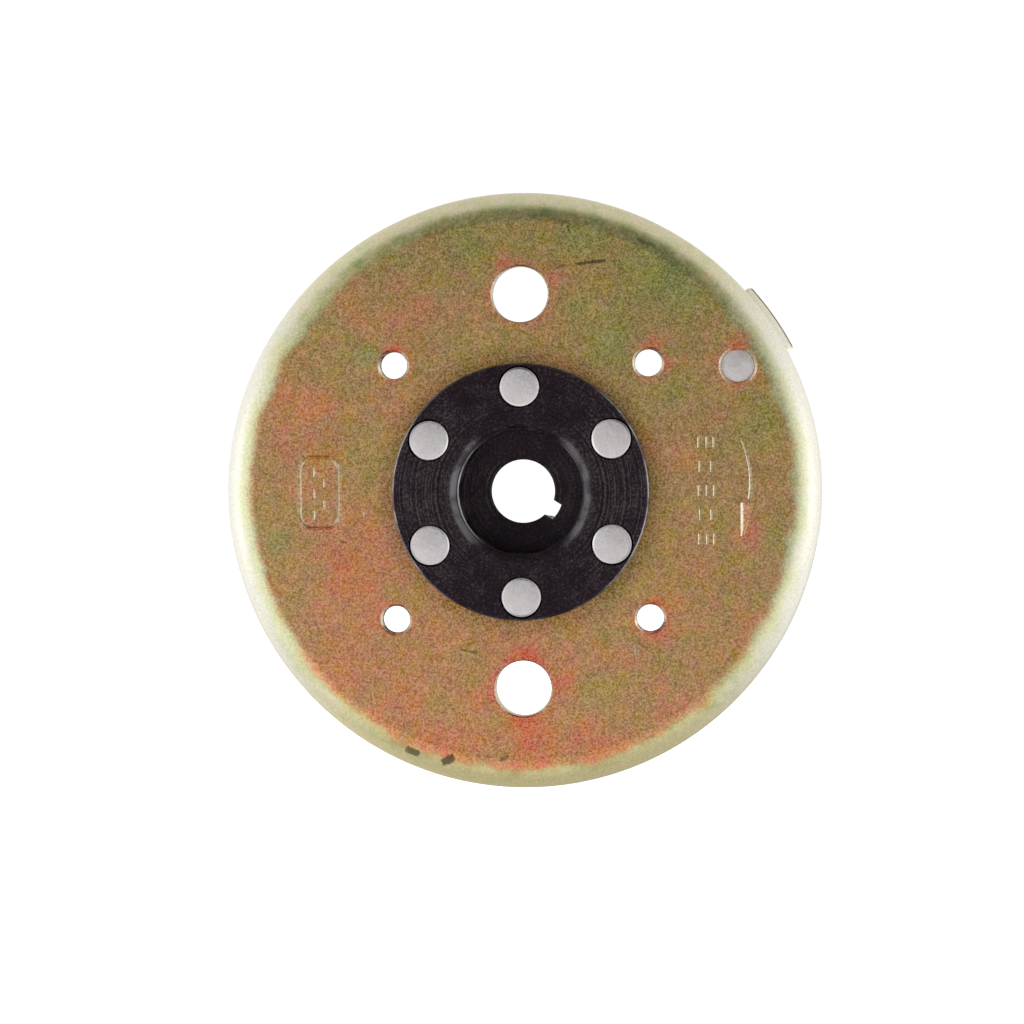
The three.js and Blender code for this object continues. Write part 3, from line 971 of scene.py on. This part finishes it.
def resin():
    """Dark moulded resin."""
    material, tree, shader = new_material("resin")
    mottle = noise(tree, where(tree)[0], 1.6, 3, 0.6, 8.0)
    colour = ramp(tree, mottle, [(0.3, (0.016, 0.012, 0.009)), (0.7, (0.045, 0.036, 0.027))])
    surface(tree, shader, colour, between(tree, mottle, 0.3, 0.7, 0.38, 0.60), mottle, 0.4, 0.05)
    return material


def stainless():
    """Thin rolled stainless sheet, brushed round the ring."""
    material, tree, shader = new_material("stainless", Metallic=1.0)
    _, _, _, y, _ = where(tree)
    lines = lines_along(tree, y, 6.0, 4.0, 0.75)
    colour = ramp(tree, lines, [(0.3, (0.50, 0.50, 0.49)), (0.7, (0.68, 0.68, 0.66))])
    surface(tree, shader, colour, between(tree, lines, 0.3, 0.7, 0.22, 0.38), lines, 0.3, 0.02)
    return material


# ---- Pieces ----

def make_cup(material):
    """The pressed cup, with its holes and stamped marks."""
    hub_gap = 0.1
    hole_radius = BARREL_RADIUS + hub_gap
    profile = filleted([
        (hole_radius, WEB_OUTER_Y, 0.1),
        (CUP_RADIUS, WEB_OUTER_Y, CORNER_RADIUS),
        (CUP_RADIUS, RIM_Y - RIM_CHAMFER, 0.2),
        (CUP_RADIUS - RIM_CHAMFER, RIM_Y, 0.2),
        (WALL_INNER_RADIUS + RIM_CHAMFER, RIM_Y, 0.2),
        (WALL_INNER_RADIUS, RIM_Y - RIM_CHAMFER, 0.2),
        (WALL_INNER_RADIUS, WEB_INNER_Y, INNER_CORNER_RADIUS),
        (hole_radius, WEB_INNER_Y, 0.1),
    ])
    cup = turned("cup_pressing", profile, CUP_SEGMENTS)
    tools = [plain_hole(place, TOOL_HOLE_RADIUS, TOOL_HOLE_CHAMFER) for place in tool_hole_places()]
    tools.extend(threaded_hole(place) for place in fan_hole_places())
    shank = RIVET_SHANK_RADIUS + RIVET_SHANK_GAP
    tools.extend(plain_hole(place, shank, RIVET_HOLE_CHAMFER) for place in rivet_places())
    tools.append(plain_hole(middle("index_pin"), PIN_HOLE_RADIUS, PIN_HOLE_CHAMFER))
    tools.extend(stamped_marks())
    cut(cup, tools)
    finish_piece(cup, material, "rotor_cup", weighted=True)


def mouth_radius(y):
    """The radius of the cone at the recess's mouth, at a place along the axis."""
    slope = (RECESS_MOUTH_RADIUS - PULLER_THREAD_MINOR_RADIUS) / RECESS_MOUTH_DEPTH
    return RECESS_MOUTH_RADIUS - (y - HUB_FACE_Y) * slope


def taper_radius(y):
    """The radius of the crank taper at a place along the axis."""
    small_end = HUB_FACE_Y + RECESS_DEPTH
    return TAPER_SMALL_RADIUS + (y - small_end) * TAPER_RADIUS_PER_LENGTH


def keyway_tool():
    """The keyway's cutting tool, a bar whose round outer face follows the taper's slope."""
    low = HUB_FACE_Y + RECESS_DEPTH - RELIEF_WIDTH / 2
    high = HUB_END_Y + OVERRUN
    half = KEYWAY_WIDTH / 2
    steps = 8
    turn = Matrix.Rotation(-math.radians(KEYWAY_ANGLE), 3, "Y")
    sections = []
    for y in (low, high):
        reach = taper_radius(y) + KEYWAY_DEPTH
        section = [Vector((0, y, -half))]
        for step in range(steps + 1):
            across = -half + KEYWAY_WIDTH * step / steps
            section.append(Vector((math.sqrt(reach ** 2 - across ** 2), y, across)))
        section.append(Vector((0, y, half)))
        sections.append([turn @ point for point in section])
    return swept("keyway_tool", sections)


def rivet_seat(place):
    """The tool of the hole that a rivet's head and shank fill in the hub's flange."""
    head = RIVET_HEAD_RADIUS + RIVET_HEAD_GAP
    shank = RIVET_SHANK_RADIUS + RIVET_SHANK_GAP
    profile = [
        (0, HUB_FACE_Y - OVERRUN),
        (head, HUB_FACE_Y - OVERRUN),
        (head, HUB_FACE_Y + RIVET_HEAD_HEIGHT),
        (shank, HUB_FACE_Y + RIVET_HEAD_HEIGHT),
        (shank, WEB_OUTER_Y + OVERRUN),
        (0, WEB_OUTER_Y + OVERRUN),
    ]
    return turned("seat_tool", profile, SMALL_SEGMENTS, place)


def make_hub(material):
    """The turned hub, with the puller's thread in its recess, the crank taper and the keyway."""
    floor_y = HUB_FACE_Y + RECESS_DEPTH
    relief_y = floor_y - RELIEF_WIDTH
    steps = round((relief_y - HUB_FACE_Y) / PULLER_THREAD_PITCH * THREAD_STEPS_PER_PITCH)
    wall = [relief_y + (HUB_FACE_Y - relief_y) * step / steps for step in range(steps + 1)]
    corners = filleted([
        (RECESS_MOUTH_RADIUS + 0.1, HUB_FACE_Y, 0),
        (FLANGE_RADIUS, HUB_FACE_Y, 0.35),
        (FLANGE_RADIUS, WEB_OUTER_Y, 0.15),
        (BARREL_RADIUS, WEB_OUTER_Y, 0.1),
        (BARREL_RADIUS, HUB_END_Y - BARREL_CHAMFER, 0.3),
        (BARREL_RADIUS - BARREL_CHAMFER, HUB_END_Y, 0.3),
        (taper_radius(HUB_END_Y) + TAPER_MOUTH_CHAMFER, HUB_END_Y, 0.15),
        (taper_radius(HUB_END_Y - TAPER_MOUTH_CHAMFER), HUB_END_Y - TAPER_MOUTH_CHAMFER, 0.1),
        (TAPER_SMALL_RADIUS, floor_y, 0.15),
        (RELIEF_RADIUS, floor_y, 0.3),
        (RELIEF_RADIUS, relief_y, 0.1),
        (PULLER_THREAD_MINOR_RADIUS, relief_y, 0),
    ], closed=False)
    profile = corners[:-1] + [(PULLER_THREAD_MINOR_RADIUS, y) for y in wall[:-1]]

    def thread_radius(radius, y, angle):
        on_wall = relief_y - 1e-6 >= y > HUB_FACE_Y and radius == PULLER_THREAD_MINOR_RADIUS
        if not on_wall:
            return radius
        wave = thread_wave(y, angle, PULLER_THREAD_PITCH)
        fade = min(1.0, (relief_y - y) / PULLER_THREAD_RUN_OUT)
        thread = radius + PULLER_THREAD_DEPTH * wave * fade
        return max(thread, mouth_radius(y))

    hub = turned("turned_hub", profile, HUB_SEGMENTS, radius_at=thread_radius)
    cut(hub, [rivet_seat(place) for place in rivet_places()])
    cut(hub, [keyway_tool()])
    finish_piece(hub, material, "hub", weighted=True)


def make_rivets(material):
    """Six rivets, with a flat head flush with the hub's face and a domed one inside the cup."""
    head_rounding = 0.65
    formed_radius = 4.2
    formed_edge = 0.5
    formed_height = 2.2
    dome_steps = 8
    for index in range(RIVET_COUNT):
        name = f"hub_rivet_{index + 1}"
        profile = filleted([
            (0, HUB_FACE_Y, 0),
            (RIVET_HEAD_RADIUS, HUB_FACE_Y, head_rounding),
            (RIVET_HEAD_RADIUS, HUB_FACE_Y + RIVET_HEAD_HEIGHT, 0),
            (RIVET_SHANK_RADIUS, HUB_FACE_Y + RIVET_HEAD_HEIGHT, 0),
            (RIVET_SHANK_RADIUS, WEB_INNER_Y, 0),
            (formed_radius - 0.1, WEB_INNER_Y, 0),
        ], closed=False)
        for step in range(dome_steps + 1):
            angle = math.pi / 2 * step / dome_steps
            height = formed_edge + (formed_height - formed_edge) * math.sin(angle)
            profile.append((formed_radius * math.cos(angle), WEB_INNER_Y + height))
        profile[-1] = (0, WEB_INNER_Y + formed_height)
        rivet = turned(f"rivet_{index + 1}", profile, SMALL_SEGMENTS, middle(name))
        finish_piece(rivet, material, name)


def make_magnets(magnet_material, spacer_material):
    """Six ferrite arcs and the resin blocks between them."""
    for index in range(MAGNET_COUNT):
        name = f"magnet_{index + 1}"
        magnet = arc_block(f"ferrite_arc_{index + 1}", name, 0.45)
        finish_piece(magnet, magnet_material, name)
        name = f"magnet_spacer_{index + 1}"
        spacer = arc_block(f"separator_{index + 1}", name, 0.3, steps=6)
        finish_piece(spacer, spacer_material, name)


def make_back_ring(material):
    """The moulded ring between the web and the magnets."""
    inner, outer = radii("back_spacer_ring")
    low, high = heights("back_spacer_ring")
    profile = filleted([
        (inner, low, 0.2), (outer, low, 0.2), (outer, high, 0.2), (inner, high, 0.4),
    ])
    ring = turned("moulded_ring", profile, CUP_SEGMENTS)
    finish_piece(ring, material, "back_spacer_ring")


def make_retainer(material):
    """The thin sleeve over the magnets' inner faces, with its lip rolled outwards."""
    inner, outer = radii("magnet_retainer")
    low, high = heights("magnet_retainer")
    sheet = 0.4
    profile = filleted([
        (inner, low, 0.1),
        (inner + sheet, low, 0.1),
        (inner + sheet, high - sheet, 0.2),
        (outer, high - sheet, 0.1),
        (outer, high, 0.15),
        (inner, high, 0.6),
    ])
    sleeve = turned("rolled_sleeve", profile, CUP_SEGMENTS)
    finish_piece(sleeve, material, "magnet_retainer")


def make_pin(material):
    """The stepped pin that shows in the web."""
    low, high = heights("index_pin")
    box_low, box_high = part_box("index_pin")
    radius = (box_high.x - box_low.x) / (2 * MM)
    tail_radius = radius * 0.6
    profile = filleted([
        (0, low, 0),
        (radius, low, 0.1),
        (radius, WEB_INNER_Y, 0),
        (tail_radius, WEB_INNER_Y, 0),
        (tail_radius, high, 0.2),
        (0, high, 0),
    ], closed=False)
    pin = turned("locating_pin", profile, SMALL_SEGMENTS, middle("index_pin"))
    finish_piece(pin, material, "index_pin")


def make_pad(material):
    """The raised trigger pad on the wall, whose front end slopes up from the wall."""
    outer = radii("trigger_pad")[1]
    low, high = heights("trigger_pad")
    centre, arc = arc_of("trigger_pad")
    slope = 1.1
    rounding = 0.35
    end_rises = (0.5, 0.85)
    section = filleted([
        (CUP_RADIUS - 0.1, low, 0),
        (CUP_RADIUS + 0.1, low, 0.1),
        (outer, low + slope, rounding),
        (outer, high - slope, rounding),
        (CUP_RADIUS + 0.1, high, 0.1),
        (CUP_RADIUS - 0.1, high, 0),
    ])
    sections = []
    for step in range(ARC_STEPS + 1):
        angle = centre - arc / 2 + arc * step / ARC_STEPS
        at_end = min(step, ARC_STEPS - step)
        rise = end_rises[at_end] if at_end < len(end_rises) else 1.0
        ring = []
        for radius, y in section:
            height = max(0.0, radius - CUP_RADIUS) * rise
            ring.append(polar(min(radius, CUP_RADIUS) + height, angle, y))
        sections.append(ring)
    pad = swept("pickup_pad", sections)
    finish_piece(pad, material, "trigger_pad")


# ---- Stage, light and camera ----

def add_floor():
    """A plain pale floor, well below the flywheel."""
    size = 4000
    height = -160
    corners = [(-size, -size), (size, -size), (size, size), (-size, size)]
    floor = add_object("floor", [(x, y, height) for x, y in corners], [[0, 1, 2, 3]])
    material, _, _ = new_material(
        "pale_floor", Roughness=0.8, Base_Color=(0.86, 0.86, 0.86, 1),
        Emission_Color=(1, 1, 1, 1), Emission_Strength=1.0)
    floor.data.materials.append(material)
    floor.visible_glossy = False


def add_softbox(name, angle):
    """A soft rectangular light level with the flywheel's middle, which it faces.

    The angle is counted round the Z axis from the camera's side towards +X.
    """
    distance = 900
    width = 460
    height = 420
    radiance = 0.3
    turn = math.radians(angle)
    away = Vector((math.sin(turn), -math.cos(turn), 0))
    light = bpy.data.lights.new(name, "AREA")
    light.shape = "RECTANGLE"
    light.size = width * MM
    light.size_y = height * MM
    light.energy = radiance * math.pi * light.size * light.size_y
    box = bpy.data.objects.new(name, light)
    box.location = (cad_low + cad_high) / 2 + away * distance * MM
    box.rotation_euler = away.to_track_quat("Z", "Y").to_euler()
    box.visible_camera = False
    bpy.context.scene.collection.objects.link(box)


def add_world():
    """A white studio: white where it is seen, and softer and uneven where it is reflected.

    Reflected, it is bright at both sides, dimmer above and below, and dark in front and above,
    where the camera and the room beyond it stand.
    """
    strength = 1.5
    world = bpy.data.worlds.new("studio")
    world.use_nodes = True
    tree = world.node_tree
    tree.nodes.clear()
    direction = node(tree, "ShaderNodeTexCoord").outputs["Generated"]
    x, y, z = node(tree, "ShaderNodeSeparateXYZ", {0: direction}).outputs
    height = between(tree, z, -1.0, 1.0, course="LINEAR")
    front = ramp(tree, height, grey_stops(
        strength, (0.0, 0.72), (0.10, 0.76), (0.36, 0.70), (0.45, 0.52), (0.50, 0.43), (0.56, 0.31),
        (0.63, 0.14), (0.75, 0.14), (0.90, 0.19), (1.0, 0.30)))
    back = ramp(tree, height, grey_stops(
        strength, (0.0, 0.52), (0.25, 0.52), (0.40, 0.75), (0.5, 0.88), (0.6, 0.90), (0.75, 0.70),
        (1.0, 0.64)))
    level = mixed(tree, between(tree, y, -0.60, -0.20), front, back)
    beside = between(tree, size_of(tree, maths(tree, "SUBTRACT", x, 0.08)), 0.13, 0.78)
    near_level = between(tree, size_of(tree, maths(tree, "ADD", z, 0.07)), 0.12, 1.0, 1.0, 0.0)
    not_behind = between(tree, y, 0.45, 0.95, 1.0, 0.5)
    side_grey = 1.14 / strength
    sides = product(tree, beside, near_level, not_behind)
    glow = mixed(tree, sides, level, (side_grey, side_grey, side_grey))
    light = node(tree, "ShaderNodeBackground", {"Color": glow, "Strength": strength})
    seen = node(tree, "ShaderNodeBackground", {"Color": (1, 1, 1, 1), "Strength": 1.05})
    path = node(tree, "ShaderNodeLightPath")
    both = node(tree, "ShaderNodeMixShader", {
        0: path.outputs["Is Camera Ray"], 1: light.outputs[0], 2: seen.outputs[0]})
    node(tree, "ShaderNodeOutputWorld", {0: both.outputs[0]})
    bpy.context.scene.world = world


def grey_stops(strength, *stops):
    """Colour ramp stops of plain greys, given as the light they send at this strength."""
    return [(place, (light / strength,) * 3) for place, light in stops]


def add_camera():
    """A camera in front of the closed face, a little to its right and above its axis."""
    distance = 500
    azimuth = math.radians(3.26)
    elevation = math.radians(1.2)
    pan = math.radians(0.2456)
    tilt = math.radians(0.4465)
    roll = math.radians(-0.55)
    web = Vector((0, WEB_OUTER_Y, 0)) * MM
    back = Vector((
        math.sin(azimuth) * math.cos(elevation),
        -math.cos(azimuth) * math.cos(elevation),
        math.sin(elevation),
    ))
    data = bpy.data.cameras.new("camera")
    data.sensor_width = 36
    data.lens = 94.4
    camera = bpy.data.objects.new("camera", data)
    place = Matrix.Translation(web + back * distance * MM)
    silhouette = Vector((0, WEB_OUTER_Y + CORNER_RADIUS, 0)) * MM
    look = (silhouette - place.translation).to_track_quat("-Z", "Y").to_matrix().to_4x4()
    turn = Matrix.Rotation(roll, 4, "Z") @ Matrix.Rotation(pan, 4, "Y") @ Matrix.Rotation(-tilt, 4, "X")
    camera.matrix_world = place @ look @ turn
    bpy.context.scene.collection.objects.link(camera)
    bpy.context.scene.camera = camera


def main():
    """Makes the pieces, then the stage."""
    zinc = yellow_zinc()
    steel = bare_steel()
    moulded = resin()
    make_cup(zinc)
    make_hub(black_oxide())
    make_rivets(steel)
    make_magnets(ferrite(), moulded)
    make_back_ring(moulded)
    make_retainer(stainless())
    make_pin(steel)
    make_pad(zinc)
    add_camera()
    add_floor()
    add_world()
    add_softbox("right_softbox", 82)
    add_softbox("left_softbox", -82)
    bpy.context.scene.view_settings.view_transform = "Standard"


main()
